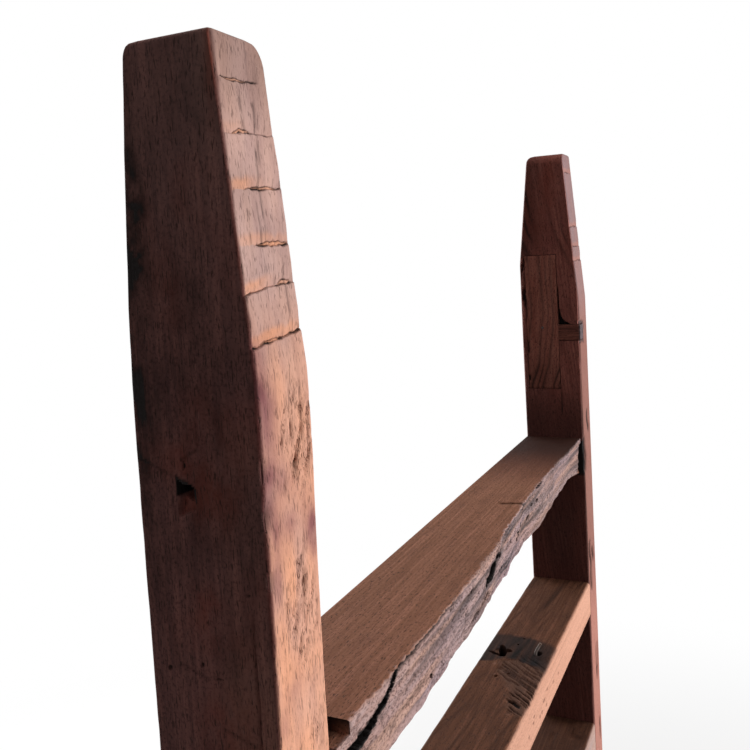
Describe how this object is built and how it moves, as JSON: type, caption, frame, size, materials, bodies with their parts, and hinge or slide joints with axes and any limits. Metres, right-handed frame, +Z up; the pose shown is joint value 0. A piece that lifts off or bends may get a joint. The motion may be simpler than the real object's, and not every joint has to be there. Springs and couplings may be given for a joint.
{
  "type": "decorative ladder",
  "caption": "Leaning decorative ladder of reclaimed hardwood: square stiles with hewn, tapered heads, thick pinned board rungs and a waney top rung, for hanging blankets or towels.",
  "frame": {"origin": "on the floor, in the middle of the ladder's footprint", "axes": "+X along the rungs to the right stile as seen from the front, +Y from the front to the back, +Z up"},
  "size_m": [0.7, 0.0721, 1.7],
  "materials": {
    "aged_hardwood": "reclaimed dark hardwood, hewn and sawn, worn and lightly oiled",
    "repair_wood": "hardwood patch and block let into the old timber, planed",
    "peg_wood": "riven eight-sided hardwood pegs, end grain showing, driven flush",
    "rusted_iron": "old iron nail and brad, brown with rust"
  },
  "bodies": {
    "root": {"left_stile": "aged_hardwood", "right_stile": "aged_hardwood", "rung_1": "aged_hardwood", "rung_2": "aged_hardwood", "rung_3": "aged_hardwood", "rung_4": "aged_hardwood", "rung_5": "aged_hardwood", "rung_6": "aged_hardwood", "rung_7": "aged_hardwood", "rung_8": "aged_hardwood", "mortise_patch": "repair_wood", "filler_block": "repair_wood", "tenon_pegs": "peg_wood", "bent_nail": "rusted_iron", "patch_brad": "rusted_iron"}
  },
  "joints": []
}
